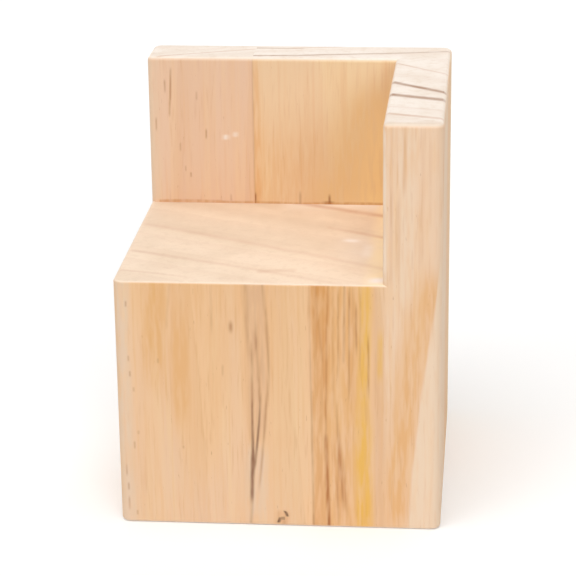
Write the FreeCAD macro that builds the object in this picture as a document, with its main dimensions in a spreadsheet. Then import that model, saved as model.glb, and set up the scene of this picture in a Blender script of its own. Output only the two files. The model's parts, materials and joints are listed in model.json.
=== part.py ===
"""Bed riser: a pine block with a corner seat for a bed leg, open to the front, the left and the top.

The block is glued up from a rabbeted post and a back board of two staves, and its edges are rounded
after the glue has set. So the finished form is modelled once, and each piece is the part of that
form that lies inside its own length of timber.

Frame: millimetres, +Z up, origin at the centre of the underside, back wall at +Y, side wall at +X.
"""
import FreeCAD
import Part
import Sketcher

import os

# Driving sizes in millimetres, each named once.
SIZES = {
    "block_width": 100.0,
    "block_depth": 100.0,
    "block_height": 130.0,
    "ledge_height": 80.0,
    "side_wall": 18.0,
    "back_wall": 18.0,
    "left_stave_width": 35.0,
    "outer_corner_radius": 3.0,
    "wall_end_radius": 2.0,
    "wall_top_radius": 1.5,
    "ledge_edge_radius": 0.8,
    "base_edge_radius": 1.2,
}

# The faces of the block and of its seat, as formulas of the driving sizes.
LEFT = "-sizes.block_width / 2"
RIGHT = "sizes.block_width / 2"
FRONT = "-sizes.block_depth / 2"
BACK = "sizes.block_depth / 2"
SEAT_RIGHT = "sizes.block_width / 2 - sizes.side_wall"
SEAT_BACK = "sizes.block_depth / 2 - sizes.back_wall"
STAVE_SEAM = "sizes.left_stave_width - sizes.block_width / 2"

TOLERANCE = 1e-4
ORIGIN_POINT = (-1, 1)


def make_sheet(doc):
    """Write the driving sizes into a sheet, one named cell a row."""
    sheet = doc.addObject("Spreadsheet::Sheet", "sizes")
    for row, (name, value) in enumerate(SIZES.items(), start=1):
        sheet.set(f"A{row}", name)
        sheet.set(f"B{row}", str(value))
        sheet.setAlias(f"B{row}", name)
    doc.recompute()
    return sheet


def value_of(sheet, formula):
    """Work out a formula of the sheet's cells in plain millimetres."""
    return float(sheet.evalExpression(formula.replace("sizes.", "")))


def draw_outline(body, sheet, name, sides):
    """Draw a closed outline of upright and level lines, each held at its own formula.

    The sides are formulas for x, y, x, y and so on, in the order in which the outline meets them.
    """
    sketch = body.newObject("Sketcher::SketchObject", name)
    plane = next(f for f in body.Origin.OriginFeatures if f.Role == "XY_Plane")
    sketch.AttachmentSupport = (plane, [""])
    sketch.MapMode = "FlatFace"

    places = [value_of(sheet, side) for side in sides]
    count = len(sides)
    corners = []
    for index in range(count):
        here, following = places[index], places[(index + 1) % count]
        x, y = (here, following) if index % 2 == 0 else (following, here)
        corners.append(FreeCAD.Vector(x, y, 0))
    for index in range(count):
        sketch.addGeometry(Part.LineSegment(corners[index - 1], corners[index]))
    for index, side in enumerate(sides):
        upright = index % 2 == 0
        sketch.addConstraint(Sketcher.Constraint("Coincident", index, 2, (index + 1) % count, 1))
        sketch.addConstraint(Sketcher.Constraint("Vertical" if upright else "Horizontal", index))
        kind = "DistanceX" if upright else "DistanceY"
        held = sketch.addConstraint(Sketcher.Constraint(kind, *ORIGIN_POINT, index, 1, places[index]))
        sketch.setExpression(f"Constraints[{held}]", side)
    return sketch


def pad_up(doc, body, sketch, name, height):
    """Raise an outline from the floor to a height given as a formula."""
    pad = body.newObject("PartDesign::Pad", name)
    pad.Profile = sketch
    pad.setExpression("Length", height)
    sketch.Visibility = False
    doc.recompute()
    return pad


def same(first, second):
    """Tell whether two lengths are equal to the model's tolerance."""
    return abs(first - second) < TOLERANCE


def is_upright(edge, x, y):
    """Tell whether an edge stands on the plan point x, y."""
    return all(same(v.X, x) and same(v.Y, y) for v in edge.Vertexes)


def is_level(edge, height):
    """Tell whether an edge lies wholly at one height."""
    return all(same(v.Z, height) for v in edge.Vertexes)


def round_edges(doc, body, name, radius, wanted):
    """Round the edges of the body's last feature that pass a test, all by one radius."""
    base = body.Tip
    chosen = [f"Edge{i}" for i, edge in enumerate(base.Shape.Edges, start=1) if wanted(edge)]
    fillet = body.newObject("PartDesign::Fillet", name)
    fillet.Base = (base, chosen)
    fillet.setExpression("Radius", radius)
    doc.recompute()
    return fillet


def make_ledge_block(doc, sheet):
    """Make the square block that the bed leg stands on, up to the ledge."""
    body = doc.addObject("PartDesign::Body", "ledge_block")
    sketch = draw_outline(body, sheet, "ledge_outline", [LEFT, FRONT, RIGHT, BACK])
    pad_up(doc, body, sketch, "ledge_pad", "sizes.ledge_height")
    top = value_of(sheet, "sizes.ledge_height")
    round_edges(doc, body, "ledge_corners", "sizes.outer_corner_radius",
                lambda edge: not is_level(edge, 0) and not is_level(edge, top))
    round_edges(doc, body, "ledge_edge", "sizes.ledge_edge_radius", lambda edge: is_level(edge, top))
    round_edges(doc, body, "ledge_base_edge", "sizes.base_edge_radius", lambda edge: is_level(edge, 0))
    return body


def make_corner_walls(doc, sheet):
    """Make the two walls as one full-height angle, with softened free ends and tops."""
    body = doc.addObject("PartDesign::Body", "corner_walls")
    sides = [RIGHT, BACK, LEFT, SEAT_BACK, SEAT_RIGHT, FRONT]
    sketch = draw_outline(body, sheet, "wall_outline", sides)
    pad_up(doc, body, sketch, "wall_pad", "sizes.block_height")
    left, right, front, back, seat_right, seat_back, top = (
        value_of(sheet, formula)
        for formula in (LEFT, RIGHT, FRONT, BACK, SEAT_RIGHT, SEAT_BACK, "sizes.block_height"))
    outer = [(right, front), (right, back), (left, back)]
    ends = [(seat_right, front), (left, seat_back)]
    round_edges(doc, body, "wall_corners", "sizes.outer_corner_radius",
                lambda edge: any(is_upright(edge, *place) for place in outer))
    round_edges(doc, body, "wall_ends", "sizes.wall_end_radius",
                lambda edge: any(is_upright(edge, *place) for place in ends))
    round_edges(doc, body, "wall_tops", "sizes.wall_top_radius", lambda edge: is_level(edge, top))
    round_edges(doc, body, "wall_base_edge", "sizes.base_edge_radius", lambda edge: is_level(edge, 0))
    return body


def make_blank(doc, name, low_x, high_x, low_y, high_y):
    """Make one length of timber of the block's full height, between four plan lines."""
    blank = doc.addObject("Part::Box", name)
    blank.setExpression("Placement.Base.x", low_x)
    blank.setExpression("Placement.Base.y", low_y)
    blank.setExpression("Length", f"({high_x}) - ({low_x})")
    blank.setExpression("Width", f"({high_y}) - ({low_y})")
    blank.setExpression("Height", "sizes.block_height")
    return blank


def cut_piece(doc, label, form, blank):
    """Make a piece: the part of the finished form that its length of timber holds.

    It isn't refined, so that a stave's open face above the ledge, which stops the bed leg, and the
    glued face below it stay two faces.
    """
    piece = doc.addObject("Part::MultiCommon", label)
    piece.Shapes = [form, blank]
    piece.Refine = False
    piece.Label = label
    return piece


def check_document(doc, pieces):
    """Stop if any object failed, or if a piece isn't one sound solid."""
    for item in doc.Objects:
        if "Invalid" in item.State or "Error" in item.State:
            raise RuntimeError(f"{item.Name} failed: {item.State}")
    for piece in pieces:
        shape = piece.Shape
        if shape.isNull() or not shape.isValid() or len(shape.Solids) != 1:
            raise RuntimeError(f"{piece.Label} isn't one sound solid")


def main():
    """Build the riser, check it and write each piece."""
    doc = FreeCAD.newDocument("bed_riser")
    sheet = make_sheet(doc)

    form = doc.addObject("Part::MultiFuse", "riser_form")
    form.Shapes = [make_ledge_block(doc, sheet), make_corner_walls(doc, sheet)]
    form.Refine = True

    blanks = {
        "notched_block": (LEFT, RIGHT, FRONT, SEAT_BACK),
        "back_stave_left": (LEFT, STAVE_SEAM, SEAT_BACK, BACK),
        "back_stave_right": (STAVE_SEAM, RIGHT, SEAT_BACK, BACK),
    }
    pieces = []
    for label, limits in blanks.items():
        blank = make_blank(doc, f"{label}_blank", *limits)
        pieces.append(cut_piece(doc, label, form, blank))
    doc.recompute()
    check_document(doc, pieces)

    os.makedirs("parts", exist_ok=True)
    for piece in pieces:
        piece.Shape.exportStep(f"parts/{piece.Label}.step")
        print(piece.Label, round(piece.Shape.Volume / 1000, 2), "cm3")
    whole = sum(piece.Shape.Volume for piece in pieces)
    print("form less pieces", round(form.Shape.Volume - whole, 4), "mm3")


main()
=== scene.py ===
"""Bed riser of glued pine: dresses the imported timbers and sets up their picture.

Marks on the wood are given in millimetres from the block's left, front and bottom faces, as a joiner
would measure them with a rule.
"""
import json
import logging
import math
from dataclasses import dataclass, replace
from enum import Enum
from typing import Any, Union

import bmesh
import bpy
from mathutils import Matrix, Vector


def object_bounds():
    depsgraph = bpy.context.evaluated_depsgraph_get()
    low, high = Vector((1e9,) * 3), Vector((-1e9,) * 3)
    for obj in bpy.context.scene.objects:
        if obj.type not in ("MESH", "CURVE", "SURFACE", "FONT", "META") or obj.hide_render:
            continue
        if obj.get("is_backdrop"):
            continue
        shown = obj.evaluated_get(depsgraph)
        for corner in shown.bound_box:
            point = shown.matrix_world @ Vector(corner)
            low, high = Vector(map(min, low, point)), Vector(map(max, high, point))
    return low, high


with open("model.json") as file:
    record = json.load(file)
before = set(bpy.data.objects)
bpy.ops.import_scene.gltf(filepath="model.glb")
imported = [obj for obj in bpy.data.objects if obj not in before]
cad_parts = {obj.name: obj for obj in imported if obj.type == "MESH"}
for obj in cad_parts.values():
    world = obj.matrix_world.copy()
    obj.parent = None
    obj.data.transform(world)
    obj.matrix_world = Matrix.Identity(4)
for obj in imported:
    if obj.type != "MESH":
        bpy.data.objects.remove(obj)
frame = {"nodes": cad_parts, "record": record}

LOG = logging.getLogger("bed_riser")
MM_PER_M = 1000.0

# Sockets of the colour form of the Mix node, which shares its names with the other forms.
MIX_BELOW, MIX_OVER, MIX_RESULT = 6, 7, 2

# A smooth step keeps within its range by itself. A Map Range that clamps as well would be worked out in
# two nodes far apart, and a long chain of marks would then outgrow the renderer's memory for one shader.
SMOOTH = {"interpolation_type": "SMOOTHSTEP", "clamp": False}

# A colour that is the same all over, or the output of a node.
Colour = Union[bpy.types.NodeSocket, tuple[float, float, float, float]]

# Ends of an upright mark that runs on past both ends of the timber.
FULL_HEIGHT = (-30.0, 150.0)

# Arches of a flat-sawn board: half the width of their soft lines, the fade at their tips, and the swell
# of their limbs as a share of their spread.
ARCH_HALF_MM, ARCH_FADE_MM, ARCH_SWELL = 0.7, 1.0, 0.4

# How far the arches stray from even ones: their tips in millimetres, and the place of their feet and their
# depth of colour as shares. Each follows a sine that steps on by so many radians from arch to arch.
CROWN_SWAY_MM, FOOT_SWAY, SHADE_SWAY = 1.3, 0.14, 0.3
CROWN_STEP, FOOT_STEP, SHADE_STEP = 2.3, 1.7, 2.9


def linear(hex_colour: str) -> tuple[float, float, float, float]:
    """Turn an sRGB hex colour into linear light.

    Args:
        hex_colour: colour such as "#EBBF90".

    Returns:
        Red, green and blue in linear light, and an alpha of 1.
    """
    channels = [int(hex_colour[i:i + 2], 16) / 255 for i in (1, 3, 5)]
    light = [c / 12.92 if c <= 0.04045 else ((c + 0.055) / 1.055) ** 2.4 for c in channels]
    return (*light, 1.0)


def add(tree: bpy.types.NodeTree, kind: str, feeds: dict[str | int, Any] | None = None,
        **settings: Any) -> bpy.types.Node:
    """Add a node with its settings, and feed its inputs.

    Args:
        tree: node tree that gets the node.
        kind: node type without its ShaderNode prefix, or its full name for a group's own ends.
        feeds: input name or number to a value, or to the output socket that drives it.
        settings: properties of the node itself.

    Returns:
        The new node.
    """
    node = tree.nodes.new(kind if kind.startswith("Node") else "ShaderNode" + kind)
    for name, value in settings.items():
        setattr(node, name, value)
    for key, value in (feeds or {}).items():
        if isinstance(value, bpy.types.NodeSocket):
            tree.links.new(value, node.inputs[key])
        else:
            node.inputs[key].default_value = value
    return node


class Tone(Enum):
    """Colours of the wood and of its marks, in sRGB."""

    TAN = "#F0C69A"
    PINK_TAN = "#ECC8AB"
    STRAW = "#F6DAB1"
    # Painted warm bounce light.
    STRAW_GLOW = "#FFDFA6"
    # Painted shade of the inner corner, warm from the light thrown back by the side wall.
    DEEP_STRAW = "#F3CF9B"
    PALE_STRAW = "#F1CDA1"
    ORANGE = "#D99A58"
    SOFT_ORANGE = "#E8B57F"
    OCHRE = "#E5AE6E"
    HONEY = "#ECB95F"
    CREAM_PINK = "#F0D0B2"
    LILAC_CREAM = "#E8CBAF"
    MAUVE = "#DAB08C"
    PALE_CREAM = "#F0D5B9"
    LATEWOOD = "#CF9158"
    PITCH = "#8A5E44"
    BROWN = "#9A4D18"
    FLECK = "#B0754A"
    KNOT = "#5A3826"
    END_CREAM = "#F7E1C9"
    END_PALE = "#FCF0E4"
    END_PINK = "#DFC6AB"
    END_RING = "#D3A98B"
    END_RING_DARK = "#B28D74"
    END_ORANGE = "#C88E60"
    # Pale edges: wear, and a painted highlight where rounded edges catch the light.
    ARRIS = "#FDEBD8"
    # Painted warm light at the foot of the side wall.
    GLUE = "#FFEAC5"
    CHALK = "#FFF6F0"


class Face(Enum):
    """Faces that carry marks of their own."""

    FRONT = "front of the post and of the side wall"
    SEAT = "ledge that the bed leg stands on"
    TOP = "sawn tops of the walls"
    BACK_WALL = "inner face of the back board"
    BACK = "outer face of the back board"


@dataclass(frozen=True)
class BlockPlan:
    """The block's main planes in millimetres from its left, front and bottom faces.

    Attributes:
        corner_m: front left bottom corner of the block in the frame, in metres.
        height: top of the walls.
        depth: outer face of the back wall.
        seat: top of the ledge.
        back_wall: inner face of the back wall.
    """

    corner_m: Vector
    height: float
    depth: float
    seat: float
    back_wall: float

    @classmethod
    def from_frame(cls) -> "BlockPlan":
        """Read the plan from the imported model's box and its mounts.

        Returns:
            The plan.
        """
        low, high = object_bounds()
        mounts = {mount["name"]: mount["pos_m"] for mount in frame["record"]["mounts"]}
        return cls(
            corner_m=low,
            height=(high.z - low.z) * MM_PER_M,
            depth=(high.y - low.y) * MM_PER_M,
            seat=(mounts["seat"][2] - low.z) * MM_PER_M,
            back_wall=(mounts["back_stop"][1] - low.y) * MM_PER_M,
        )

    def lie(self, face: Face) -> tuple[str, str, str, float]:
        """Tell how marks lie on a face.

        Args:
            face: face that carries the marks.

        Returns:
            The axes that marks run along and across, the axis out of the face, and the face's place on it.
        """
        return {
            Face.FRONT: ("Z", "X", "Y", 0.0),
            Face.SEAT: ("X", "Y", "Z", self.seat),
            Face.TOP: ("X", "Y", "Z", self.height),
            Face.BACK_WALL: ("Z", "X", "Y", self.back_wall),
            Face.BACK: ("Z", "X", "Y", self.depth),
        }[face]


@dataclass(frozen=True)
class Streak:
    """A line, band or spot on a face, in millimetres.

    Attributes:
        face: face that carries it.
        start: where it starts along the face.
        end: where it ends.
        at_start: its place across the face at its start.
        at_end: its place across the face at its end.
        half: half its width at its start.
        tone: its colour.
        strength: share of its colour at its start.
        end_strength: share of its colour at its end, or None for the same.
        end_half: half its width at its end, or None for the same.
        bow: how far its middle stands off the straight line.
        soft: half the width of its soft edge.
        fade: length over which its ends fade out.
        through: whether it is a growth layer that goes on into the wood, and not a mark on the surface.
    """

    face: Face
    start: float
    end: float
    at_start: float
    at_end: float
    half: float
    tone: Tone
    strength: float
    end_strength: float | None = None
    end_half: float | None = None
    bow: float = 0.0
    soft: float = 0.35
    fade: float = 2.0
    through: bool = False


def dashes(face: Face, tone: Tone, strength: float, half: float,
           *places: tuple[float, float, float]) -> tuple[Streak, ...]:
    """Make short straight marks, such as resin canals, which fade over a third of their length at each end.

    Args:
        face: face that carries them.
        tone: their colour.
        strength: share of that colour.
        half: half their width.
        places: place across the face, middle along the face and length of each.

    Returns:
        The marks.
    """
    return tuple(
        Streak(face, middle - length / 2, middle + length / 2, across, across, half, tone, strength,
               fade=length / 3)
        for across, middle, length in places)


def cathedral(face: Face, centre: float, foot_half: float, tone: Tone, strength: float,
              *crowns: float) -> tuple[Streak, ...]:
    """Make the pointed arches of a board that was sawn along its growth layers.

    Args:
        face: face that carries them.
        centre: line across the face that the arches stand on.
        foot_half: half the spread of the widest arch at its foot.
        tone: colour of their lines.
        strength: share of that colour.
        crowns: height of each arch, tallest first.

    Returns:
        Two limbs for each arch.
    """
    limbs = []
    for number, crown in enumerate(crowns):
        spread = foot_half * crown / crowns[0]
        tip = centre + CROWN_SWAY_MM * math.sin(CROWN_STEP * number)
        for side in (-1, 1):
            foot = centre + side * spread * (1 + FOOT_SWAY * math.sin(FOOT_STEP * number + side))
            shade = strength * (1 + SHADE_SWAY * math.sin(SHADE_STEP * number + side))
            limbs.append(Streak(face, FULL_HEIGHT[0], crown, foot, tip, ARCH_HALF_MM, tone, shade,
                                bow=side * spread * ARCH_SWELL, soft=ARCH_HALF_MM, fade=ARCH_FADE_MM))
    return tuple(limbs)


@dataclass(frozen=True)
class Figure:
    """One scale of the wood's figure: a noise that is stretched along the fibres.

    Attributes:
        across_mm: width of a mark.
        along_mm: length of a mark.
        onset: noise value at which a mark starts to show.
        full: noise value at which it shows in full.
        tone: colour of the mark.
        strength: share of that colour.
    """

    across_mm: float
    along_mm: float
    onset: float
    full: float
    tone: Tone
    strength: float


@dataclass(frozen=True)
class GrowthRings:
    """Yearly layers as they lie in plan: pale wood that darkens slowly and ends at a sharp line.

    Attributes:
        slope: how far a ring falls towards the front for each millimetre to the right.
        spacing_mm: distance between two rings, measured towards the back.
        tilt: how far a ring leans back for each millimetre of height.
        end_strength: share of the ring colour on sawn ends.
        long_strength: share of the ring colour along the fibres.
    """

    slope: float
    spacing_mm: float
    tilt: float
    end_strength: float
    long_strength: float


class StreakGroup:
    """A node group that gives the mask of one streak."""

    INPUTS = ("Along", "Across", "Gate", "Start", "End", "At start", "At end", "Bow", "Half start",
              "Half end", "Soft", "Fade", "Strength start", "Strength end")

    # A share times what is left of it peaks at a quarter, and a bow is given at its peak.
    BOW_GAIN = 4.0

    def __init__(self) -> None:
        """Make the group with its sockets and nodes."""
        self.tree = bpy.data.node_groups.new("wood_streak", "ShaderNodeTree")
        for name in self.INPUTS:
            self.tree.interface.new_socket(name, in_out="INPUT", socket_type="NodeSocketFloat")
        self.tree.interface.new_socket("Mask", in_out="OUTPUT", socket_type="NodeSocketFloat")
        self.fill()

    def fill(self) -> None:
        """Lay out the nodes that work out the mask."""
        tree = self.tree
        given = add(tree, "NodeGroupInput").outputs
        share = add(tree, "MapRange", {0: given["Along"], 1: given["Start"], 2: given["End"]},
                    clamp=False).outputs[0]
        straight = add(tree, "MapRange", {0: share, 3: given["At start"], 4: given["At end"]},
                       clamp=False).outputs[0]
        rest = add(tree, "Math", {0: 1.0, 1: share}, operation="SUBTRACT").outputs[0]
        hump = add(tree, "Math", {0: share, 1: rest}, operation="MULTIPLY").outputs[0]
        lift = add(tree, "Math", {0: hump, 1: self.BOW_GAIN}, operation="MULTIPLY").outputs[0]
        line = add(tree, "Math", {0: lift, 1: given["Bow"], 2: straight}, operation="MULTIPLY_ADD").outputs[0]
        off = add(tree, "Math", {0: given["Across"], 1: line}, operation="SUBTRACT").outputs[0]
        away = add(tree, "Math", {0: off}, operation="ABSOLUTE").outputs[0]
        half = add(tree, "MapRange", {0: share, 3: given["Half start"], 4: given["Half end"]},
                   clamp=False).outputs[0]
        inner = add(tree, "Math", {0: half, 1: given["Soft"]}, operation="SUBTRACT").outputs[0]
        outer = add(tree, "Math", {0: half, 1: given["Soft"]}, operation="ADD").outputs[0]
        body = add(tree, "MapRange", {0: away, 1: inner, 2: outer, 3: 1.0, 4: 0.0}, **SMOOTH).outputs[0]
        after = add(tree, "Math", {0: given["Along"], 1: given["Start"]}, operation="SUBTRACT").outputs[0]
        before = add(tree, "Math", {0: given["End"], 1: given["Along"]}, operation="SUBTRACT").outputs[0]
        inside = add(tree, "Math", {0: after, 1: before}, operation="MINIMUM").outputs[0]
        ends = add(tree, "MapRange", {0: inside, 1: 0.0, 2: given["Fade"]}, **SMOOTH).outputs[0]
        strength = add(tree, "MapRange", {0: share, 3: given["Strength start"],
                                          4: given["Strength end"]}, clamp=False).outputs[0]
        faded = add(tree, "Math", {0: body, 1: ends}, operation="MULTIPLY").outputs[0]
        gated = add(tree, "Math", {0: faded, 1: given["Gate"]}, operation="MULTIPLY").outputs[0]
        mask = add(tree, "Math", {0: gated, 1: strength}, operation="MULTIPLY").outputs[0]
        add(tree, "NodeGroupOutput", {"Mask": mask})


class WoodTree:
    """The node tree of one timber, with the places and masks that all its layers read.

    Attributes:
        tree: the tree itself.
        place: place in the timber that noises read, in millimetres.
        wandered: place that rings and marks read, in millimetres, moved a little as fibres stray.
        axes: the same place along each axis.
        level: 1 on level faces, which show end grain, and 0 on upright ones.
        arris: 1 on the rounded edges of level faces.
        side_patches: how much marks show along the fibres.
        end_patches: how much marks show on sawn ends.
    """

    # Fibres stray by about a millimetre over a few centimetres of their length.
    WANDER_CELL_MM = (18.0, 18.0, 60.0)
    WANDER_DETAIL = 5.0
    WANDER_MM = 1.6
    NOISE_MIDDLE = (0.5, 0.5, 0.5)

    # Marks show more in one patch than in the next: in long patches along the fibres, in round ones on ends.
    PATCH_NOISE = (0.34, 0.62)
    SIDE_PATCH_MM = (1.6, 1.6, 11.0)
    SIDE_PATCH_SHARE = (0.55, 1.15)
    END_PATCH_MM = (7.0, 7.0, 7.0)
    END_PATCH_SHARE = (0.8, 1.1)

    # How upright the normal is where end grain sets in and is full, and where the pale edges, with wear and a
    # painted highlight, come and go.
    END_GRAIN_NORMAL = (0.5, 0.8)
    WORN_LIT_EDGE_COMES_NORMAL = (0.2, 0.55)
    WORN_LIT_EDGE_GOES_NORMAL = (0.9, 0.995)

    # Share of a year's layer at which the wood starts to darken.
    LATEWOOD_ONSET = 0.4

    # How deep into the wood a mark of the surface is full, and how deep it is gone.
    MARK_DEPTH_MM = (5.0, 8.0)

    tree: bpy.types.NodeTree
    place: bpy.types.NodeSocket
    wandered: bpy.types.NodeSocket
    axes: dict[str, bpy.types.NodeSocket]
    level: bpy.types.NodeSocket
    arris: bpy.types.NodeSocket
    side_patches: bpy.types.NodeSocket
    end_patches: bpy.types.NodeSocket

    def __init__(self, material: bpy.types.Material, plan: BlockPlan, seed_mm: Vector) -> None:
        """Empty a material's tree and work out place, level and masks.

        Args:
            material: material that gets the layers.
            plan: the block's main planes.
            seed_mm: shift of all noises.
        """
        material.use_nodes = True
        self.tree = material.node_tree
        self.tree.nodes.clear()
        tree = self.tree
        coordinates = add(tree, "TexCoord")
        measured = add(tree, "VectorMath", {
            0: coordinates.outputs["Object"],
            1: (MM_PER_M, MM_PER_M, MM_PER_M),
            2: -plan.corner_m * MM_PER_M,
        }, operation="MULTIPLY_ADD").outputs[0]
        self.place = add(tree, "VectorMath", {0: measured, 1: seed_mm}, operation="ADD").outputs[0]

        normal = add(tree, "SeparateXYZ", {0: coordinates.outputs["Normal"]}).outputs["Z"]
        upright = add(tree, "Math", {0: normal}, operation="ABSOLUTE").outputs[0]
        starts, full = self.END_GRAIN_NORMAL
        self.level = add(tree, "MapRange", {0: upright, 1: starts, 2: full}, **SMOOTH).outputs[0]
        starts, full = self.WORN_LIT_EDGE_COMES_NORMAL
        comes = add(tree, "MapRange", {0: upright, 1: starts, 2: full}, **SMOOTH).outputs[0]
        full, gone = self.WORN_LIT_EDGE_GOES_NORMAL
        goes = add(tree, "MapRange", {0: upright, 1: full, 2: gone, 3: 1.0, 4: 0.0}, **SMOOTH).outputs[0]
        self.arris = add(tree, "Math", {0: comes, 1: goes}, operation="MULTIPLY").outputs[0]

        noise = self.grain(self.WANDER_CELL_MM, detail=self.WANDER_DETAIL).outputs["Color"]
        centred = add(tree, "VectorMath", {0: noise, 1: self.NOISE_MIDDLE}, operation="SUBTRACT").outputs[0]
        self.wandered = add(tree, "VectorMath", {0: centred, 1: (self.WANDER_MM,) * 3, 2: measured},
                            operation="MULTIPLY_ADD").outputs[0]
        split = add(tree, "SeparateXYZ", {0: self.wandered})
        self.axes = {name: split.outputs[name] for name in "XYZ"}
        self.side_patches = self.lay_patches(self.SIDE_PATCH_MM, self.SIDE_PATCH_SHARE)
        self.end_patches = self.lay_patches(self.END_PATCH_MM, self.END_PATCH_SHARE)

    def lay_patches(self, cell_mm: tuple[float, float, float],
                    share: tuple[float, float]) -> bpy.types.NodeSocket:
        """Make a mask that lets marks show more in one place and less in another.

        Args:
            cell_mm: size of a patch along each axis.
            share: least and most that a mark shows.

        Returns:
            The mask, which lies between those two.
        """
        patches = self.grain(cell_mm).outputs[0]
        low, high = self.PATCH_NOISE
        return add(self.tree, "MapRange", {0: patches, 1: low, 2: high, 3: share[0], 4: share[1]},
                   **SMOOTH).outputs[0]

    def grain(self, cell_mm: tuple[float, float, float], detail: float = 2.0) -> bpy.types.Node:
        """Make a grain of a real size: a noise that is stretched to cells in millimetres.

        Args:
            cell_mm: size of a cell along each axis.
            detail: number of finer layers.

        Returns:
            The noise node.
        """
        scale = tuple(1 / size for size in cell_mm)
        stretched = add(self.tree, "VectorMath", {0: self.place, 1: scale}, operation="MULTIPLY").outputs[0]
        return add(self.tree, "TexNoise", {"Vector": stretched, "Scale": 1.0, "Detail": detail})

    def cover(self, colour: Colour, tone: Tone, mask: bpy.types.NodeSocket) -> bpy.types.NodeSocket:
        """Lay a tone over a colour.

        Args:
            colour: colour below.
            tone: tone that is laid over it.
            mask: share of the tone.

        Returns:
            The mixed colour.
        """
        return add(self.tree, "Mix", {0: mask, MIX_BELOW: colour, MIX_OVER: linear(tone.value)},
                   data_type="RGBA").outputs[MIX_RESULT]

    def lay_figures(self, colour: Colour, figures: tuple[Figure, ...]) -> Colour:
        """Lay noise figures over a colour.

        Args:
            colour: colour below.
            figures: figures, coarse to fine.

        Returns:
            The colour with its figure.
        """
        for figure in figures:
            noise = self.grain((figure.across_mm, figure.across_mm, figure.along_mm)).outputs[0]
            mask = add(self.tree, "MapRange", {0: noise, 1: figure.onset, 2: figure.full, 4: figure.strength},
                       **SMOOTH).outputs[0]
            colour = self.cover(colour, figure.tone, mask)
        return colour

    def lay_rings(self, colour: Colour, rings: GrowthRings, tone: Tone,
                  strength: float) -> bpy.types.NodeSocket:
        """Lay the yearly layers over a colour.

        Args:
            colour: colour below.
            rings: how the layers lie.
            tone: colour of the dense end of each layer.
            strength: share of that colour.

        Returns:
            The colour with its rings.
        """
        tree = self.tree
        across = Vector((rings.slope, 1.0, rings.tilt)) / rings.spacing_mm
        years = add(tree, "VectorMath", {0: self.wandered, 1: across},
                    operation="DOT_PRODUCT").outputs["Value"]
        share = add(tree, "Math", {0: years}, operation="FRACT").outputs[0]
        dense = add(tree, "MapRange", {0: share, 1: self.LATEWOOD_ONSET, 2: 1.0, 4: strength},
                    **SMOOTH).outputs[0]
        return self.cover(colour, tone, dense)

    def lay_streaks(self, colour: Colour, streaks: list[Streak], rings: GrowthRings, plan: BlockPlan,
                    group: StreakGroup) -> Colour:
        """Lay marks over a colour.

        Args:
            colour: colour below.
            streaks: marks to lay.
            rings: how the growth layers lie, which marks that go through the wood follow.
            plan: the block's main planes.
            group: node group that draws one streak.

        Returns:
            The colour with its marks.
        """
        tree = self.tree
        for face in Face:
            marks = [streak for streak in streaks if streak.face is face]
            if not marks:
                continue
            along, across, out, level = plan.lie(face)
            depth = add(tree, "Math", {0: self.axes[out], 1: level}, operation="SUBTRACT").outputs[0]
            distance = add(tree, "Math", {0: depth}, operation="ABSOLUTE").outputs[0]
            full, gone = self.MARK_DEPTH_MM
            near = add(tree, "MapRange", {0: distance, 1: full, 2: gone, 3: 1.0, 4: 0.0}, **SMOOTH).outputs[0]
            patches = self.end_patches if out == "Z" else self.side_patches
            gate = add(tree, "Math", {0: near, 1: patches}, operation="MULTIPLY").outputs[0]
            layer = add(tree, "Math", {0: depth, 1: 1 / rings.slope, 2: self.axes[across]},
                        operation="MULTIPLY_ADD").outputs[0]
            for mark in marks:
                mask = add(tree, "Group", {
                    "Along": self.axes[along],
                    "Across": layer if mark.through else self.axes[across],
                    "Gate": patches if mark.through else gate,
                    "Start": mark.start, "End": mark.end,
                    "At start": mark.at_start, "At end": mark.at_end, "Bow": mark.bow,
                    "Half start": mark.half,
                    "Half end": mark.half if mark.end_half is None else mark.end_half,
                    "Soft": mark.soft, "Fade": mark.fade,
                    "Strength start": mark.strength,
                    "Strength end": mark.strength if mark.end_strength is None else mark.end_strength,
                }, node_tree=group.tree).outputs[0]
                colour = self.cover(colour, mark.tone, mask)
        return colour


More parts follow.
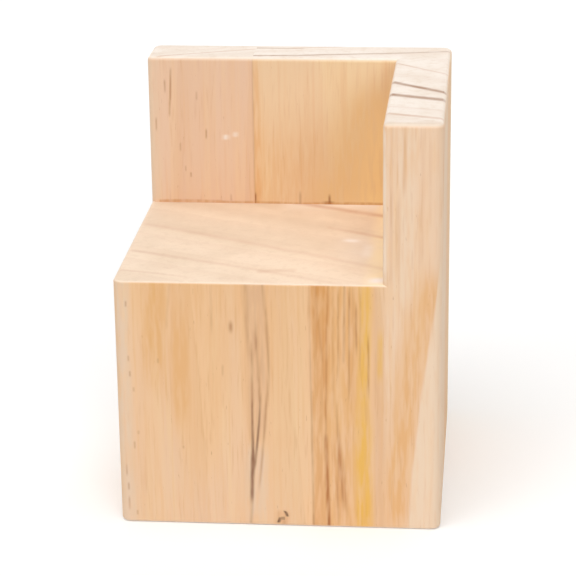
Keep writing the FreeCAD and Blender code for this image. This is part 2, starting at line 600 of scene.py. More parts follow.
@dataclass(frozen=True)
class PineTimber:
    """One length of planed and sanded pine and the marks it carries.

    Attributes:
        node: name of the CAD node that it dresses.
        long_tone: ground colour along the fibres.
        end_tone: ground colour of a sawn end on the ledge or the underside.
        top_tone: ground colour of a sawn end on the walls' tops, which where it is paler than the ledge's is
            painted light.
        rings: yearly layers.
        figures: broad figure along the fibres.
        fibres: fine figure along the fibres, which lies over the growth layers.
        end_figures: figure of the sawn ends.
        streaks: marks of its own.
        seed_mm: shift of all noises, so that no two timbers are alike.
    """

    node: str
    long_tone: Tone
    end_tone: Tone
    top_tone: Tone
    rings: GrowthRings
    figures: tuple[Figure, ...]
    fibres: tuple[Figure, ...]
    end_figures: tuple[Figure, ...]
    streaks: tuple[Streak, ...]
    seed_mm: Vector

    # Planed softwood: fibres a few hundredths deep, drawn 0.7 mm wide so that they show, and a dry
    # surface with hardly any gloss, a little smoother on the dense fibres.
    FIBRE_CELL_MM = (0.7, 0.7, 26.0)
    SAW_CELL_MM = (0.55, 0.55, 0.55)
    FIBRE_RELIEF_M = 0.00005
    SAW_RELIEF_M = 0.00002
    ROUGHNESS = (0.52, 0.7)
    ROUGH_NOISE = (0.3, 0.7)
    IOR = 1.5
    SPECULAR = 0.25

    # Share of the pale colour on rounded edges, which is wear and a painted highlight, and the height over
    # which the ledge's colour becomes the tops' paler one, which is painted light.
    EDGE_WEAR_AND_HIGHLIGHT = 0.32
    TOP_MARGIN_MM = 5.0

    def dress(self, plan: BlockPlan, group: StreakGroup) -> bpy.types.Material:
        """Make the timber's material and put it on its CAD node.

        Args:
            plan: the block's main planes.
            group: node group that draws one streak.

        Returns:
            The material.
        """
        material = bpy.data.materials.new(f"sanded_pine_{self.node}")
        wood = WoodTree(material, plan, self.seed_mm)
        long_grain = self.paint_long_grain(wood, plan, group)
        sides = self.finish(wood, long_grain, self.FIBRE_CELL_MM, self.FIBRE_RELIEF_M)
        end_grain = self.paint_end_grain(wood, plan, group)
        ends = self.finish(wood, end_grain, self.SAW_CELL_MM, self.SAW_RELIEF_M)
        surface = add(wood.tree, "MixShader", {0: wood.level, 1: sides, 2: ends}).outputs[0]
        add(wood.tree, "OutputMaterial", {"Surface": surface})
        frame["nodes"][self.node].material_slots[0].material = material
        return material

    def paint_long_grain(self, wood: WoodTree, plan: BlockPlan, group: StreakGroup) -> bpy.types.NodeSocket:
        """Paint the wood as it shows along its fibres.

        Args:
            wood: tree of the material.
            plan: the block's main planes.
            group: node group that draws one streak.

        Returns:
            The colour along the fibres.
        """
        upright = [streak for streak in self.streaks if streak.face not in (Face.SEAT, Face.TOP)]
        layers = [streak for streak in upright if streak.through]
        marks = [streak for streak in upright if not streak.through]
        colour = wood.lay_figures(linear(self.long_tone.value), self.figures)
        colour = wood.lay_rings(colour, self.rings, Tone.LATEWOOD, self.rings.long_strength)
        colour = wood.lay_streaks(colour, layers, self.rings, plan, group)
        colour = wood.lay_figures(colour, self.fibres)
        return wood.lay_streaks(colour, marks, self.rings, plan, group)

    def paint_end_grain(self, wood: WoodTree, plan: BlockPlan, group: StreakGroup) -> bpy.types.NodeSocket:
        """Paint the wood as it shows on sawn ends, palest on the walls' tops, which is painted light.

        Args:
            wood: tree of the material.
            plan: the block's main planes.
            group: node group that draws one streak.

        Returns:
            The colour of the sawn ends.
        """
        low, top = plan.seat + self.TOP_MARGIN_MM, plan.height - self.TOP_MARGIN_MM
        high = add(wood.tree, "MapRange", {0: wood.axes["Z"], 1: low, 2: top}, **SMOOTH).outputs[0]
        colour = wood.cover(linear(self.end_tone.value), self.top_tone, high)
        colour = wood.lay_rings(colour, self.rings, Tone.END_RING, self.rings.end_strength)
        colour = wood.lay_figures(colour, self.end_figures)
        marks = [streak for streak in self.streaks if streak.face in (Face.SEAT, Face.TOP)]
        return wood.lay_streaks(colour, marks, self.rings, plan, group)

    def finish(self, wood: WoodTree, colour: bpy.types.NodeSocket,
               cell_mm: tuple[float, float, float], relief_m: float) -> bpy.types.NodeSocket:
        """Give painted wood its pale edges, with wear and a painted highlight, its relief and its dull sheen.

        Args:
            wood: tree of the material.
            colour: colour of the wood.
            cell_mm: size of one raised fibre along each axis.
            relief_m: how far it stands up.

        Returns:
            The shader.
        """
        tree = wood.tree
        worn_and_lit = add(tree, "Math", {0: wood.arris, 1: self.EDGE_WEAR_AND_HIGHLIGHT}, operation="MULTIPLY").outputs[0]
        colour = wood.cover(colour, Tone.ARRIS, worn_and_lit)
        height = wood.grain(cell_mm).outputs[0]
        bump = add(tree, "Bump", {"Strength": 1.0, "Distance": relief_m, "Height": height}).outputs[0]
        low, high = self.ROUGH_NOISE
        smoothest, roughest = self.ROUGHNESS
        rough = add(tree, "MapRange", {0: height, 1: low, 2: high, 3: smoothest, 4: roughest},
                    **SMOOTH).outputs[0]
        return add(tree, "BsdfPrincipled", {
            "Base Color": colour, "Roughness": rough, "Normal": bump,
            "IOR": self.IOR, "Specular IOR Level": self.SPECULAR,
        }).outputs[0]


def calmer(figures: tuple[Figure, ...], *strengths: float) -> tuple[Figure, ...]:
    """Give figures the strengths that calmer wood has.

    Args:
        figures: figures of livelier wood.
        strengths: new strength of each.

    Returns:
        The same figures at those strengths.
    """
    return tuple(replace(figure, strength=strength) for figure, strength in zip(figures, strengths))


# Broad figure: pinkish and orange clouds that follow the fibres.
LONG_FIGURES = (
    Figure(16.0, 90.0, 0.46, 0.66, Tone.PINK_TAN, 0.55),
    Figure(6.0, 110.0, 0.50, 0.68, Tone.SOFT_ORANGE, 0.42),
    Figure(2.6, 60.0, 0.48, 0.70, Tone.PALE_STRAW, 0.5),
)

# Fine figure: pale and dark fibres, and resin canals as short flecks. Real fibres and canals are 0.05 to
# 0.2 mm wide, and these are drawn coarser so that they show.
FIBRES = (
    Figure(1.6, 50.0, 0.46, 0.72, Tone.PALE_STRAW, 0.3),
    Figure(1.2, 36.0, 0.50, 0.74, Tone.SOFT_ORANGE, 0.35),
    Figure(0.7, 12.0, 0.54, 0.76, Tone.LATEWOOD, 0.22),
    Figure(0.55, 3.0, 0.70, 0.78, Tone.FLECK, 0.4),
)

# The staves were cut from calmer wood than the post.
STAVE_FIGURES = calmer(LONG_FIGURES, 0.35, 0.22, 0.3)
STAVE_FIBRES = calmer(FIBRES, 0.2, 0.22, 0.16, 0.3)

# Sawn ends: pinkish clouds, and a fine speckle of cut fibres, drawn coarser so that it shows.
END_FIGURES = (
    Figure(22.0, 60.0, 0.45, 0.65, Tone.END_PINK, 0.25),
    Figure(3.0, 10.0, 0.48, 0.72, Tone.END_PINK, 0.25),
    Figure(0.9, 4.0, 0.48, 0.75, Tone.END_RING, 0.1),
)

# The pale growth layer at the right of the post, which rises in a long curve towards the outer corner.
PALE_LAYER = Streak(Face.FRONT, *FULL_HEIGHT, 149.2, 174.0, 60.0, Tone.PALE_CREAM, 0.95,
                    bow=-5.4, soft=0.5, through=True)

# Growth layers of the post, seen on its front as upright bands.
FRONT_LAYERS = (
    Streak(Face.FRONT, *FULL_HEIGHT, 93.5, 93.5, 11.0, Tone.CREAM_PINK, 0.9, soft=1.6, through=True),
    Streak(Face.FRONT, -8, 92, 86.2, 100.0, 3.6, Tone.SOFT_ORANGE, 1.0, 0.7, end_half=5.0, bow=-3.6,
           soft=3.0, fade=16, through=True),
    Streak(Face.FRONT, 66, 150, 94.5, 97.5, 2.2, Tone.SOFT_ORANGE, 0.25, 0.15, soft=1.0, fade=15,
           through=True),
    Streak(Face.FRONT, 70, 150, 87.5, 91.0, 2.2, Tone.PALE_CREAM, 0.5, soft=1.0, fade=10, through=True),
    PALE_LAYER,
    Streak(Face.FRONT, *FULL_HEIGHT, 228.0, 252.0, 38.0, Tone.TAN, 1.0, bow=-5.4, soft=16.0, through=True),
    Streak(Face.FRONT, *FULL_HEIGHT, 62.9, 62.6, 2.5, Tone.ORANGE, 0.4, 1.0, soft=0.7, through=True),
    Streak(Face.FRONT, *FULL_HEIGHT, 70.0, 70.0, 5.0, Tone.OCHRE, 0.45, 0.9, soft=1.2, through=True),
    Streak(Face.FRONT, -30, 44, 76.7, 75.9, 3.2, Tone.HONEY, 1.0, end_half=2.0, soft=1.8, fade=12,
           through=True),
    Streak(Face.FRONT, 32, 150, 76.1, 77.8, 1.8, Tone.HONEY, 0.8, 1.0, soft=1.1, fade=12, through=True),
    Streak(Face.FRONT, *FULL_HEIGHT, 81.0, 81.4, 1.6, Tone.MAUVE, 0.25, soft=0.8, through=True),
    Streak(Face.FRONT, *FULL_HEIGHT, 53.5, 53.5, 5.2, Tone.PALE_STRAW, 0.3, soft=1.5, through=True),
)

# The front warms towards the ledge and pales towards the floor.
FRONT_TINTS = (
    Streak(Face.FRONT, 32, 110, 34.0, 34.0, 27.0, Tone.SOFT_ORANGE, 0.0, 0.7, soft=4.0, fade=6),
    Streak(Face.FRONT, -25, 32, 28.0, 28.0, 30.0, Tone.LILAC_CREAM, 0.55, 0.0, soft=5.0, fade=4),
)

# The forked pitch streak: upper strands that run together into one tail.
PITCH_FORK = (
    Streak(Face.FRONT, 26, 92, 43.6, 42.8, 2.6, Tone.MAUVE, 0.5, 0.5, end_half=3.4, soft=1.2, fade=8),
    Streak(Face.FRONT, -2, 30, 42.8, 43.2, 3.2, Tone.LILAC_CREAM, 0.7, soft=1.4, fade=8),
    Streak(Face.FRONT, 46, 72, 43.7, 43.4, 1.2, Tone.FLECK, 0.16, 0.14, soft=1.2, fade=8),
    Streak(Face.FRONT, 54, 92, 41.4, 38.9, 0.5, Tone.FLECK, 0.2, 0.25, end_half=1.0, soft=0.7, fade=6),
    Streak(Face.FRONT, 28, 64, 41.9, 41.8, 0.35, Tone.FLECK, 0.6, 0.4, soft=0.45, fade=8),
    Streak(Face.FRONT, 18, 44, 42.0, 41.9, 0.5, Tone.PITCH, 1.1, 0.35, end_half=0.25, fade=4),
    Streak(Face.FRONT, 6, 26, 41.2, 42.2, 0.5, Tone.PITCH, 0.45, 1.1, end_half=0.7, soft=0.45, fade=4),
    Streak(Face.FRONT, -4, 16, 41.0, 41.6, 0.45, Tone.PITCH, 0.2, 0.5, soft=0.5, fade=5),
    Streak(Face.FRONT, 38, 68, 44.5, 43.0, 0.35, Tone.FLECK, 0.75, 0.4, soft=0.45, fade=6),
    Streak(Face.FRONT, 18, 46, 42.3, 44.6, 0.4, Tone.PITCH, 1.0, 0.4, end_half=0.25, bow=0.2, fade=4),
    Streak(Face.FRONT, 38, 92, 46.5, 44.3, 0.4, Tone.FLECK, 0.5, 0.3, end_half=0.5, bow=1.3, soft=0.5,
           fade=6),
    Streak(Face.FRONT, 10, 46, 43.5, 46.5, 0.35, Tone.FLECK, 0.4, 0.55, bow=0.25, soft=0.5, fade=6),
)

# Soft patches at the left of the front and in the pale layer, and the first resin marks. The pale band on the
# rounded left corner is painted light.
FRONT_PATCHES = (
    replace(PALE_LAYER, strength=0.6, soft=0.6, through=False),
    # Painted light where the rounded left corner turns towards the light.
    Streak(Face.FRONT, -5, 90, 2.2, 2.2, 2.6, Tone.LILAC_CREAM, 0.8, soft=1.6),
    Streak(Face.FRONT, 40, 92, 12.0, 13.6, 3.0, Tone.OCHRE, 0.6, soft=2.2, fade=16),
    Streak(Face.FRONT, 28, 76, 20.0, 20.4, 2.4, Tone.SOFT_ORANGE, 1.0, soft=1.2, fade=16),
    Streak(Face.FRONT, 64, 82, 16.4, 17.8, 0.3, Tone.FLECK, 0.18, soft=0.5),
    Streak(Face.FRONT, 62, 82, 29.8, 29.8, 0.3, Tone.FLECK, 0.25, soft=0.5, fade=6),
    Streak(Face.FRONT, 63.5, 69, 35.6, 35.7, 0.6, Tone.FLECK, 0.6, soft=0.6, fade=2.6),
)

# Dark strands in the orange band, and the honey-coloured spot beside it.
ORANGE_STRANDS = (
    Streak(Face.FRONT, 60, 90, 62.9, 62.9, 3.0, Tone.ORANGE, 0.0, 0.9, soft=1.0, fade=8),
    Streak(Face.FRONT, -4, 82, 60.9, 59.9, 0.3, Tone.BROWN, 0.4, 0.15, bow=-0.2),
    Streak(Face.FRONT, 54, 82, 63.8, 61.4, 0.3, Tone.BROWN, 0.15, 0.15, soft=0.5),
    Streak(Face.FRONT, -2, 32, 65.5, 64.7, 0.5, Tone.BROWN, 0.7, 0.4, soft=0.5),
    Streak(Face.FRONT, 28, 82, 64.7, 65.7, 0.3, Tone.BROWN, 0.3, 0.2, bow=-0.3),
    Streak(Face.FRONT, 54, 82, 70.0, 70.6, 0.35, Tone.BROWN, 0.35, 0.3),
    Streak(Face.FRONT, 40, 82, 71.7, 72.0, 0.3, Tone.BROWN, 0.25, 0.4, fade=8),
    Streak(Face.FRONT, 56, 76, 74.1, 74.0, 0.35, Tone.BROWN, 0.35, fade=6),
    Streak(Face.FRONT, 0, 34, 69.8, 68.2, 1.6, Tone.LATEWOOD, 0.35, soft=1.4, fade=10),
    Streak(Face.FRONT, 14, 46, 69.0, 67.8, 0.3, Tone.BROWN, 0.4, 0.15, soft=0.45, fade=8),
    Streak(Face.FRONT, 4, 36, 70.2, 68.6, 0.3, Tone.BROWN, 0.4, 0.35, soft=0.5, fade=8),
    Streak(Face.FRONT, 2, 26, 71.3, 70.0, 0.35, Tone.BROWN, 0.3, 0.25, soft=0.6, fade=8),
    Streak(Face.FRONT, -2, 20, 68.5, 68.0, 0.3, Tone.BROWN, 0.2, 0.3, soft=0.5, fade=8),
    Streak(Face.FRONT, 42, 66, 77.9, 77.8, 0.3, Tone.BROWN, 0.45, 0.35, fade=6),
    Streak(Face.FRONT, 47, 68, 81.2, 81.6, 0.7, Tone.HONEY, 0.75, soft=0.6, fade=6),
    Streak(Face.FRONT, 44, 84, 61.7, 61.7, 0.6, Tone.LATEWOOD, 0.1, 0.6, soft=0.6, fade=10),
    Streak(Face.FRONT, 30, 72, 63.5, 63.6, 0.5, Tone.LATEWOOD, 0.25, soft=0.9, fade=10),
    Streak(Face.FRONT, 34, 84, 66.8, 67.0, 0.4, Tone.LATEWOOD, 0.3, 0.45, soft=0.5, fade=10),
    Streak(Face.FRONT, 44, 84, 68.4, 68.6, 0.3, Tone.BROWN, 0.15, 0.25, fade=10),
    Streak(Face.FRONT, 40, 84, 73.0, 73.1, 0.35, Tone.LATEWOOD, 0.25, 0.4, soft=0.5, fade=10),
    Streak(Face.FRONT, 50, 84, 75.2, 75.4, 0.3, Tone.BROWN, 0.2, 0.2, fade=10),
)

# Lines on the front of the side wall, and painted highlights along its rounded outer and inner edges.
SIDE_WALL_LINES = (
    Streak(Face.FRONT, 76, 134, 84.6, 84.9, 0.5, Tone.LATEWOOD, 0.2, soft=0.5, fade=8),
    Streak(Face.FRONT, 80, 112, 86.4, 87.0, 0.6, Tone.LATEWOOD, 0.25, soft=0.6, fade=8),
    Streak(Face.FRONT, 106, 134, 88.4, 88.9, 0.45, Tone.LATEWOOD, 0.35, soft=0.5, fade=6),
    Streak(Face.FRONT, 84, 132, 93.4, 94.4, 0.6, Tone.LATEWOOD, 0.2, soft=0.6, fade=8),
    Streak(Face.FRONT, 96, 128, 96.0, 96.4, 0.45, Tone.LATEWOOD, 0.3, soft=0.5, fade=6),
    # Painted highlight along the rounded outer edge of the side wall.
    Streak(Face.FRONT, 80, 140, 97.0, 97.0, 3.0, Tone.CREAM_PINK, 0.6, soft=2.0, fade=10),
    # Painted highlight along the rounded inner edge of the side wall.
    Streak(Face.FRONT, 80, 129, 82.6, 82.6, 0.5, Tone.ARRIS, 0.5, soft=0.4),
)

# Resin flecks, most of them along the left edge.
RESIN_FLECKS = dashes(
    Face.FRONT, Tone.FLECK, 0.42, 0.26,
    (4.0, 72.7, 2.6), (4.3, 55.0, 2.6), (4.6, 50.0, 2.6), (5.6, 44.8, 2.2), (13.4, 54.4, 2.2),
    (6.5, 30.5, 1.8), (5.2, 26.3, 3.4), (2.5, 18.0, 5.5), (2.9, 12.3, 3.5), (2.9, 6.5, 6.0),
    (5.3, 3.3, 2.2), (20.2, 26.1, 1.4), (33.0, 52.0, 5.0),
)

# Pin knots at the foot of the front: two short arcs and a spot in a brownish halo.
PIN_KNOTS = (
    Streak(Face.FRONT, -1, 6, 50.6, 51.2, 2.0, Tone.LATEWOOD, 0.35, soft=1.2),
    Streak(Face.FRONT, 0.7, 3.1, 49.6, 50.5, 0.5, Tone.KNOT, 0.85, soft=0.35, fade=0.6),
    Streak(Face.FRONT, 2.9, 5.3, 52.5, 51.4, 0.45, Tone.KNOT, 0.85, bow=0.3, soft=0.35, fade=0.6),
    Streak(Face.FRONT, -0.5, 2.2, 51.3, 51.2, 0.5, Tone.FLECK, 0.5, soft=0.5, fade=0.8),
    *dashes(Face.FRONT, Tone.KNOT, 0.85, 0.5, (51.1, 2.5, 1.6)),
)

# Rings on the ledge, pale patches towards the walls and a warm pale band at the foot of the side wall, all
# three painted light that lifts the shade near the walls, and white spots.
SEAT_MARKS = (
    Streak(Face.SEAT, 0, 90, 86.0, 44.0, 5.0, Tone.END_PINK, 0.85, 0.4, soft=4.5),
    Streak(Face.SEAT, 10, 90, 96.0, 60.0, 11.0, Tone.END_PINK, 0.9, 0.4, soft=7.0),
    Streak(Face.SEAT, 0, 90, 66.0, 26.0, 12.0, Tone.END_PINK, 0.45, soft=11.0),
    # Painted light that lifts the shade near the side wall and the back wall.
    Streak(Face.SEAT, 62, 90, 38.0, 30.0, 14.0, Tone.END_PALE, 0.3, soft=8.0, fade=12),
    Streak(Face.SEAT, 42, 90, 83.0, 83.0, 6.0, Tone.END_PALE, 0.4, 0.9, soft=5.0, fade=6),
    # Painted warm light along the foot of the side wall.
    Streak(Face.SEAT, 74, 90, 40.0, 40.0, 45.0, Tone.GLUE, 0.9, soft=6.0, fade=6),
    Streak(Face.SEAT, 0, 84, 58.0, 14.5, 1.1, Tone.END_RING, 0.36, 0.3, bow=1.0, soft=2.2),
    Streak(Face.SEAT, 0, 72, 30.5, -1.0, 0.9, Tone.END_RING, 0.42, 0.2, bow=1.0, soft=1.6),
    Streak(Face.SEAT, 0, 26, 11.0, 4.0, 0.7, Tone.END_RING, 0.35, 0.1, soft=0.8),
    Streak(Face.SEAT, 46, 84, 84.5, 68.0, 1.6, Tone.END_ORANGE, 0.5, 0.5, soft=2.2),
    Streak(Face.SEAT, 60, 84, 57.5, 45.0, 1.1, Tone.END_ORANGE, 0.15, 0.45, soft=1.6),
    Streak(Face.SEAT, 42, 56, 11.0, 13.5, 1.4, Tone.END_RING, 0.3, soft=1.2),
    Streak(Face.SEAT, 66, 74, 43.5, 43.0, 1.2, Tone.CHALK, 0.7, soft=1.6, fade=3.5),
    Streak(Face.SEAT, 73, 78.5, 33.0, 33.0, 6.0, Tone.CHALK, 0.3, soft=3.5, fade=2.6),
    Streak(Face.SEAT, 76, 85, 4.6, 5.2, 2.2, Tone.CHALK, 0.9, soft=2.2, fade=4),
)

# Rings on the top of the side wall.
WALL_TOP_MARKS = (
    Streak(Face.TOP, 78, 104, 54.3, 34.8, 1.3, Tone.END_RING_DARK, 0.95, soft=1.0),
    Streak(Face.TOP, 78, 104, 37.0, 27.3, 1.5, Tone.END_RING_DARK, 1.1, 0.7, soft=1.1),
    Streak(Face.TOP, 78, 104, 14.0, 5.5, 1.0, Tone.END_RING, 0.6, soft=1.0),
    Streak(Face.TOP, 80, 104, 78.4, 57.8, 0.6, Tone.END_RING, 0.5, soft=0.6),
    Streak(Face.TOP, 78, 104, 22.0, 16.0, 0.5, Tone.END_RING, 0.2, soft=0.6),
    Streak(Face.TOP, 78, 104, 0.0, 0.0, 2.5, Tone.END_PINK, 0.6, soft=1.5),
)

# The narrower stave: painted light on its rounded left end, its seam, resin flecks, white spots, and arches
# on its outer face.
LEFT_STAVE_MARKS = (
    # Painted light on the rounded left end of the stave.
    Streak(Face.BACK_WALL, 80, 132, 1.0, 1.0, 2.4, Tone.LILAC_CREAM, 0.6, soft=1.4),
    Streak(Face.BACK_WALL, 78, 132, 35.2, 35.2, 0.4, Tone.BROWN, 0.3, 0.15),
    Streak(Face.BACK_WALL, 114, 127, 7.0, 7.6, 0.3, Tone.FLECK, 0.6),
    Streak(Face.BACK_WALL, 109, 116, 6.6, 7.0, 0.3, Tone.FLECK, 0.6),
    *dashes(Face.BACK_WALL, Tone.FLECK, 0.5, 0.25, (10.1, 99.2, 4.0), (11.8, 91.8, 2.6), (13.6, 89.6, 2.4),
            (19.1, 104.0, 4.5), (27.0, 82.2, 3.4), (5.4, 120.0, 6.0), (2.4, 107.0, 6.0), (16.0, 117.0, 4.0)),
    Streak(Face.BACK_WALL, 78, 81.4, 19.5, 19.5, 17.0, Tone.LATEWOOD, 0.5, fade=0.8),
    Streak(Face.BACK_WALL, 101.6, 104.2, 25.6, 26.0, 1.2, Tone.CHALK, 0.6, soft=0.9, fade=1.0),
    Streak(Face.BACK_WALL, 102.6, 105.2, 28.9, 29.2, 0.8, Tone.CHALK, 0.45, soft=0.8, fade=1.0),
    Streak(Face.TOP, 2, 36, 82.4, 95.0, 0.5, Tone.END_RING, 0.7, 0.4, soft=0.5),
    *cathedral(Face.BACK, 15.0, 11.0, Tone.LATEWOOD, 0.4, 118.0, 92.0, 64.0, 34.0),
)

# The wider stave: painted shade low on its left, painted shade and painted warm bounce light towards the
# inner corner, its seam, resin at its foot, and arches outside.
RIGHT_STAVE_MARKS = (
    # Painted shade low on the stave's left, near the ledge.
    Streak(Face.BACK_WALL, 60, 118, 42.0, 46.0, 14.0, Tone.OCHRE, 0.3, soft=9.0, fade=26),
    # Painted shade and warm reflected light in the inner corner, where the side wall shades the stave.
    Streak(Face.BACK_WALL, 60, 126, 84.0, 84.0, 36.0, Tone.DEEP_STRAW, 1.0, end_half=13.0, soft=7.0,
           fade=14),
    # Painted warm bounce light that lifts the shade low in the inner corner.
    Streak(Face.BACK_WALL, 60, 122, 78.0, 84.0, 14.0, Tone.STRAW_GLOW, 1.0, end_half=6.0, soft=9.0,
           fade=20),
    Streak(Face.BACK_WALL, 78, 132, 36.2, 35.8, 1.2, Tone.SOFT_ORANGE, 0.8, 0.4, soft=0.6),
    Streak(Face.BACK_WALL, 78, 132, 34.9, 34.9, 0.4, Tone.BROWN, 0.3, 0.15),
    *dashes(Face.BACK_WALL, Tone.BROWN, 0.6, 0.35, (50.4, 81.5, 8.0), (60.2, 81.0, 6.5), (35.3, 81.5, 6.0)),
    Streak(Face.BACK_WALL, 78, 81.6, 59.8, 59.8, 1.6, Tone.BROWN, 0.45, soft=1.2, fade=0.8),
    Streak(Face.BACK_WALL, 78, 81.2, 60.0, 60.0, 26.0, Tone.LATEWOOD, 0.5, fade=0.8),
    Streak(Face.TOP, 33, 104, 84.4, 94.0, 0.65, Tone.END_RING_DARK, 0.85, 0.4, bow=-0.9, soft=0.5),
    Streak(Face.TOP, 33, 52, 96.0, 95.8, 0.55, Tone.END_RING_DARK, 0.8, 0.3, soft=0.5),
    Streak(Face.TOP, 46, 72, 96.0, 99.8, 0.5, Tone.END_RING, 0.5, soft=0.5),
    *cathedral(Face.BACK, 70.0, 24.0, Tone.LATEWOOD, 0.4, 140.0, 116.0, 90.0, 60.0, 28.0),
)

POST = PineTimber(
    node="notched_block",
    long_tone=Tone.TAN,
    end_tone=Tone.END_CREAM,
    # The tops are painted paler than the ledge of the same timber: painted light.
    top_tone=Tone.END_PALE,
    rings=GrowthRings(slope=0.45, spacing_mm=13.0, tilt=0.03, end_strength=0.1, long_strength=0.15),
    figures=LONG_FIGURES,
    fibres=FIBRES,
    end_figures=END_FIGURES,
    streaks=(FRONT_LAYERS + FRONT_TINTS + PITCH_FORK + FRONT_PATCHES + ORANGE_STRANDS + SIDE_WALL_LINES
             + RESIN_FLECKS + PIN_KNOTS + SEAT_MARKS + WALL_TOP_MARKS),
    seed_mm=Vector((310.0, 120.0, 40.0)),
)

LEFT_STAVE = PineTimber(
    node="back_stave_left",
    long_tone=Tone.PINK_TAN,
    end_tone=Tone.END_PALE,
    top_tone=Tone.END_PALE,
    rings=GrowthRings(slope=-0.37, spacing_mm=9.0, tilt=0.02, end_strength=0.1, long_strength=0.1),
    figures=STAVE_FIGURES,
    fibres=STAVE_FIBRES,
    end_figures=END_FIGURES,
    streaks=LEFT_STAVE_MARKS,
    seed_mm=Vector((-140.0, 260.0, 510.0)),
)

RIGHT_STAVE = PineTimber(
    node="back_stave_right",
    long_tone=Tone.STRAW,
    end_tone=Tone.END_PALE,
    top_tone=Tone.END_PALE,
    rings=GrowthRings(slope=-0.14, spacing_mm=9.0, tilt=0.02, end_strength=0.1, long_strength=0.1),
    figures=STAVE_FIGURES,
    fibres=STAVE_FIBRES,
    end_figures=END_FIGURES,
    streaks=RIGHT_STAVE_MARKS,
    seed_mm=Vector((75.0, -330.0, 220.0)),
)


@dataclass(frozen=True)
class Lamp:
    """A large soft lamp far from the object, so that it lights floor and object evenly.

    Attributes:
        name: name of the lamp.
        azimuth_deg: where it stands, from the front towards the right.
        elevation_deg: how high it stands.
        softness_deg: how wide it looks from the object.
        level: light on a white surface that faces it, where 1 is white.
    """

    name: str
    azimuth_deg: float
    elevation_deg: float
    softness_deg: float
    level: float

    def build(self) -> None:
        """Make the lamp, turned towards the origin."""
        light = bpy.data.lights.new(self.name, "SUN")
        light.energy = self.level * math.pi
        light.angle = math.radians(self.softness_deg)
        lamp = bpy.data.objects.new(self.name, light)
        azimuth, elevation = math.radians(self.azimuth_deg), math.radians(self.elevation_deg)
        towards = Vector((math.sin(azimuth) * math.cos(elevation), -math.cos(azimuth) * math.cos(elevation),
                          math.sin(elevation)))
        lamp.rotation_mode = "QUATERNION"
        lamp.rotation_quaternion = towards.to_track_quat("Z", "Y")
        lamp.location = towards
        bpy.context.scene.collection.objects.link(lamp)


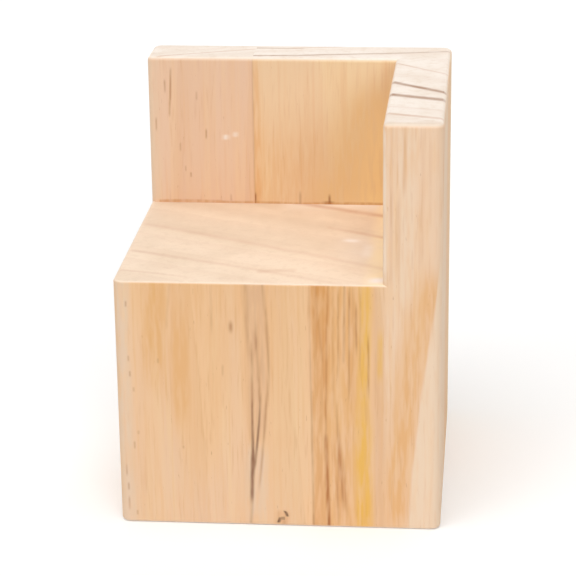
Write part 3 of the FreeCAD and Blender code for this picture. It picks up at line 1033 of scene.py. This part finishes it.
@dataclass(frozen=True)
class Studio:
    """Plain pale floor, even sky, soft lamps and the camera at the photograph's viewing angle.

    Attributes:
        lamps: soft lamps.
        sky_level: light from all round, where 1 is white.
        floor_half_m: half the side of the floor.
        floor_tone: colour of the floor.
        floor_lift: light that the floor adds to itself for the camera, so that it meets the white sky.
        camera_mm: place of the camera.
        aim_mm: point that the camera looks at.
        roll_deg: turn of the camera about its own line of sight.
        lens_mm: focal length on a 36 mm wide sensor.
        clip_m: distance from which the camera sees.
    """

    WHITE = "#FFFFFF"

    lamps: tuple[Lamp, ...]
    sky_level: float = 0.29
    floor_half_m: float = 20.0
    floor_tone: str = "#F4F4F4"
    floor_lift: float = 0.15
    camera_mm: tuple[float, float, float] = (64.1, -686.7, 301.5)
    aim_mm: tuple[float, float, float] = (-1.0, -2.0, 62.0)
    roll_deg: float = -0.74
    lens_mm: float = 140.7
    clip_m: float = 0.01

    def build(self) -> None:
        """Make the whole studio."""
        scene = bpy.context.scene
        scene.view_settings.view_transform = "Standard"
        self.build_sky()
        self.build_floor()
        for lamp in self.lamps:
            lamp.build()
        scene.camera = self.build_camera()

    @staticmethod
    def seen(tree: bpy.types.NodeTree) -> bpy.types.NodeSocket:
        """Tell whether a ray shows the background itself, also in a reflection.

        Args:
            tree: node tree that needs to know.

        Returns:
            A socket that is 1 for such rays.
        """
        path = add(tree, "LightPath").outputs
        mirrored = add(tree, "Math", {0: path["Is Glossy Ray"], 1: path["Is Transmission Ray"]},
                       operation="MAXIMUM").outputs[0]
        return add(tree, "Math", {0: path["Is Camera Ray"], 1: mirrored}, operation="MAXIMUM").outputs[0]

    def build_sky(self) -> None:
        """Make a sky that lights evenly and shows white."""
        world = bpy.data.worlds.new("studio_sky")
        world.use_nodes = True
        tree = world.node_tree
        tree.nodes.clear()
        strength = add(tree, "MapRange", {0: self.seen(tree), 3: self.sky_level, 4: 1.0}).outputs[0]
        light = add(tree, "Background", {"Color": linear(self.WHITE), "Strength": strength}).outputs[0]
        add(tree, "OutputWorld", {"Surface": light})
        bpy.context.scene.world = world

    def build_floor(self) -> None:
        """Make the floor, which keeps the object's shadow."""
        # Matt white paper has no gloss: it shows nothing but the soft shade round the object's foot.
        material = bpy.data.materials.new("matt_white_paper")
        material.use_nodes = True
        tree = material.node_tree
        tree.nodes.clear()
        paper = add(tree, "BsdfDiffuse", {"Color": linear(self.floor_tone)}).outputs[0]
        lift = add(tree, "MapRange", {0: self.seen(tree), 3: 0.0, 4: self.floor_lift}).outputs[0]
        glow = add(tree, "Emission", {"Color": linear(self.WHITE), "Strength": lift}).outputs[0]
        both = add(tree, "AddShader", {0: paper, 1: glow}).outputs[0]
        add(tree, "OutputMaterial", {"Surface": both})
        mesh = bpy.data.meshes.new("studio_floor")
        sheet = bmesh.new()
        bmesh.ops.create_grid(sheet, x_segments=1, y_segments=1, size=self.floor_half_m)
        sheet.to_mesh(mesh)
        sheet.free()
        mesh.materials.append(material)
        floor = bpy.data.objects.new("studio_floor", mesh)
        bpy.context.scene.collection.objects.link(floor)
        floor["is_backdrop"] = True

    def build_camera(self) -> bpy.types.Object:
        """Make the camera and turn it to its aim.

        Returns:
            The camera.
        """
        data = bpy.data.cameras.new("studio_camera")
        data.lens = self.lens_mm
        data.clip_start = self.clip_m
        camera = bpy.data.objects.new("studio_camera", data)
        place = Vector(self.camera_mm) / MM_PER_M
        sight = Vector(self.aim_mm) / MM_PER_M - place
        roll = Matrix.Rotation(math.radians(self.roll_deg), 3, "Z")
        turn = sight.to_track_quat("-Z", "Y").to_matrix() @ roll
        camera.matrix_world = Matrix.Translation(place) @ turn.to_4x4()
        bpy.context.scene.collection.objects.link(camera)
        return camera


LAMPS = (
    Lamp("key_softbox", 22.0, 18.8, 24.0, 0.19),
    Lamp("fill_softbox", -45.0, 30.0, 40.0, 0.145),
    Lamp("overhead_softbox", -10.0, 78.0, 50.0, 0.52),
    Lamp("back_softbox", 170.0, 45.0, 45.0, 0.1),
)


def main() -> None:
    """Dress the timbers, build the studio and log what each timber wears and how many lamps there are."""
    logging.basicConfig(level=logging.INFO, format="%(name)s: %(message)s")
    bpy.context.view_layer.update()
    plan = BlockPlan.from_frame()
    group = StreakGroup()
    for timber in (POST, LEFT_STAVE, RIGHT_STAVE):
        material = timber.dress(plan, group)
        LOG.info("%s wears %s, with %d marks", timber.node, material.name, len(timber.streaks))
    Studio(lamps=LAMPS).build()
    LOG.info("studio has %d lamps", len(LAMPS))


if __name__ == "__main__":
    main()
